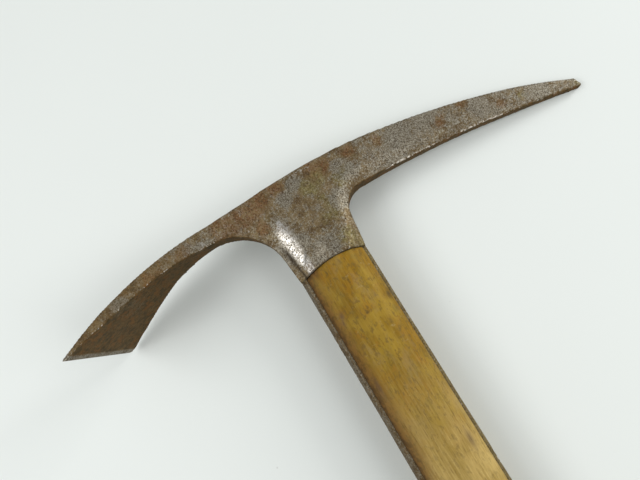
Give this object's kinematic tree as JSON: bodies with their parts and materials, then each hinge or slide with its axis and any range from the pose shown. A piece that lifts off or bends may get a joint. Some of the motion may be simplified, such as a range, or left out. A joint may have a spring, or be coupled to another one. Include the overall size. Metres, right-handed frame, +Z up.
{
  "type": "ice axe",
  "caption": "Traditional mountaineering axe: one-piece forged steel head with a curved pick and a flared adze, riveted by two straps to a wooden shaft that ends in a ferrule and spike",
  "frame": {"origin": "centre of the footprint on the ground, with the axe lying on its side", "axes": "+X towards the pick, +Y along the shaft from the spike to the head, +Z up"},
  "size_m": [0.2754, 0.8519, 0.0666],
  "materials": {
    "forged_steel": "forged steel with a fine pitted rust patina and worn bright edges",
    "shaft_wood": "old varnished ash, honey coloured, worn and dented",
    "rivet_steel": "filed flush, lightly rusted",
    "ferrule_steel": "drawn steel tube with a rust patina"
  },
  "bodies": {
    "root": {"head": "forged_steel", "shaft": "shaft_wood", "upper_strap_rivet": "rivet_steel", "middle_strap_rivet": "rivet_steel", "lower_strap_rivet": "rivet_steel", "ferrule": "ferrule_steel", "spike": "forged_steel", "ferrule_pin": "rivet_steel"}
  },
  "joints": []
}
